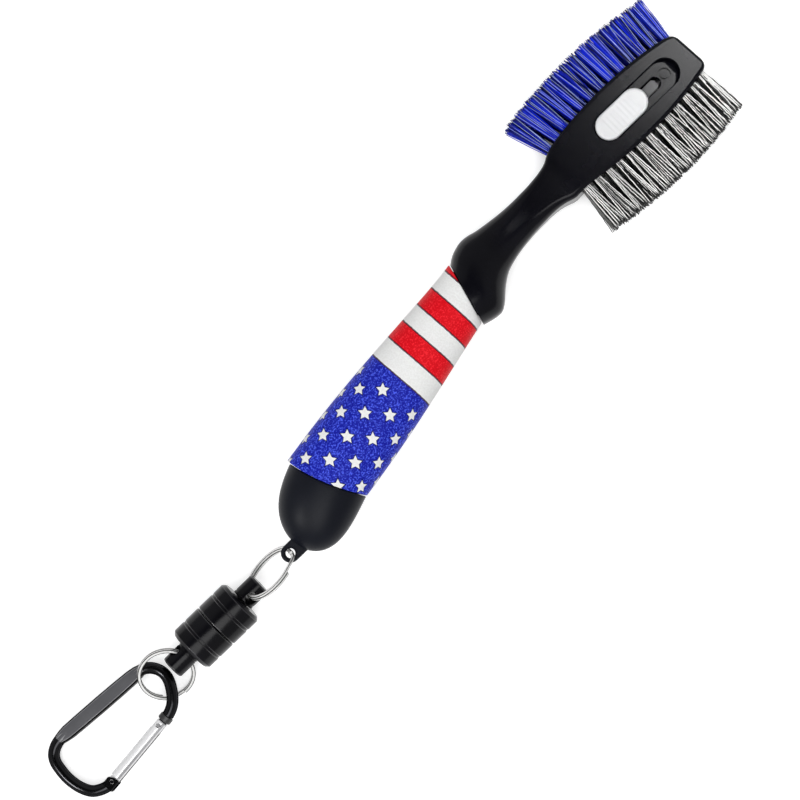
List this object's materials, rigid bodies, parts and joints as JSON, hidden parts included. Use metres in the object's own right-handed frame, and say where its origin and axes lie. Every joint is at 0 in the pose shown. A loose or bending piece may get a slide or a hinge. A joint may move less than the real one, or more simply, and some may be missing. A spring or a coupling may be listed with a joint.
{
  "type": "club groove brush",
  "caption": "Golf groove brush with nylon and wire bristles, a slide-out spike, a printed grip, and a magnetic clasp with split rings and a small carabiner.",
  "frame": {"origin": "centre of the head's flat back, on the face the brush lies on", "axes": "+X along the head towards its tip, +Y to the nylon side, +Z out of the face that the button is on"},
  "size_m": [0.3027, 0.0672, 0.0208],
  "materials": {
    "black_plastic": "satin black moulded plastic",
    "printed_sleeve": "pebbled wrap printed with red and white stripes and white stars on blue",
    "white_plastic": "smooth white",
    "grey_plastic": "light grey",
    "blue_nylon": "blue filament",
    "silver_wire": "crimped bright wire",
    "steel": "plain steel",
    "nickel": "bright nickel plate",
    "black_anodised": "glossy black anodised",
    "black_satin": "satin black anodised",
    "bright_aluminium": "bright"
  },
  "bodies": {
    "brush": {"handle_frame": "black_plastic", "channel_cover": "black_plastic", "grip_sleeve": "printed_sleeve", "butt_cap": "black_plastic", "nylon_tuft_01": "blue_nylon", "nylon_tuft_02": "blue_nylon", "nylon_tuft_03": "blue_nylon", "nylon_tuft_04": "blue_nylon", "nylon_tuft_05": "blue_nylon", "nylon_tuft_06": "blue_nylon", "nylon_tuft_07": "blue_nylon", "nylon_tuft_08": "blue_nylon", "nylon_tuft_09": "blue_nylon", "nylon_tuft_10": "blue_nylon", "nylon_tuft_11": "blue_nylon", "nylon_tuft_12": "blue_nylon", "nylon_tuft_13": "blue_nylon", "wire_tuft_01": "silver_wire", "wire_tuft_02": "silver_wire", "wire_tuft_03": "silver_wire", "wire_tuft_04": "silver_wire", "wire_tuft_05": "silver_wire", "wire_tuft_06": "silver_wire", "wire_tuft_07": "silver_wire", "wire_tuft_08": "silver_wire", "wire_tuft_09": "silver_wire", "wire_tuft_10": "silver_wire", "wire_tuft_11": "silver_wire", "wire_tuft_12": "silver_wire", "wire_tuft_13": "silver_wire"},
    "slider": {"slider_button": "white_plastic", "spike_carriage": "grey_plastic", "spike": "steel", "detent_ball": "steel", "detent_spring": "steel"},
    "upper_ring": {"upper_split_ring": "nickel"},
    "upper_end": {"upper_eye": "black_anodised", "upper_eye_screw": "steel"},
    "clasp_upper": {"clasp_upper_shell": "black_anodised", "upper_magnet": "nickel"},
    "clasp_lower": {"clasp_lower_shell": "black_anodised", "lower_magnet": "nickel"},
    "lower_end": {"lower_eye": "black_anodised", "lower_eye_screw": "steel"},
    "lower_ring": {"lower_split_ring": "nickel"},
    "carabiner": {"carabiner_frame": "black_satin", "gate_hinge_pin": "steel"},
    "gate": {"carabiner_gate": "bright_aluminium", "gate_catch_pin": "steel", "gate_spring": "steel"}
  },
  "joints": [
    {"name": "spike_slide", "type": "slide", "parent": "brush", "child": "slider", "axis": [1, 0, 0], "range_m": [0, 0.0132]},
    {"name": "upper_ring_swing", "type": "hinge", "parent": "brush", "child": "upper_ring", "pos_m": [-0.17189, -0.0267, 0.0104], "axis": [0, 0, 1], "range_deg": [-40, 40]},
    {"name": "upper_end_swing", "type": "hinge", "parent": "upper_ring", "child": "upper_end", "pos_m": [-0.19003, -0.0267, 0.008], "axis": [0.1136, 0.5, -0.8585], "range_deg": [-40, 40]},
    {"name": "upper_swivel", "type": "hinge", "parent": "upper_end", "child": "clasp_upper", "pos_m": [-0.20473, -0.0267, 0.008], "axis": [1, 0, 0], "continuous": true},
    {"name": "magnet_release", "type": "slide", "parent": "clasp_upper", "child": "clasp_lower", "axis": [-1, 0, 0], "range_m": [0, 0.02]},
    {"name": "lower_swivel", "type": "hinge", "parent": "clasp_lower", "child": "lower_end", "pos_m": [-0.20473, -0.0267, 0.008], "axis": [1, 0, 0], "continuous": true},
    {"name": "lower_ring_swing", "type": "hinge", "parent": "lower_end", "child": "lower_ring", "pos_m": [-0.21863, -0.0267, 0.008], "axis": [-0.1116, 0.8782, 0.465], "range_deg": [-30, 30]},
    {"name": "carabiner_swing", "type": "hinge", "parent": "lower_ring", "child": "carabiner", "pos_m": [-0.22675, -0.0267, 0.00605], "axis": [-0.205, -0.4782, 0.854], "range_deg": [-25, 25]},
    {"name": "gate_swing", "type": "hinge", "parent": "carabiner", "child": "gate", "pos_m": [-0.26259, -0.03932, 0.00401], "axis": [-0.0558, 0.087, 0.9946], "range_deg": [0, 30], "stiffness_Nm_per_rad": 0.01, "springref_deg": -20.05}
  ]
}
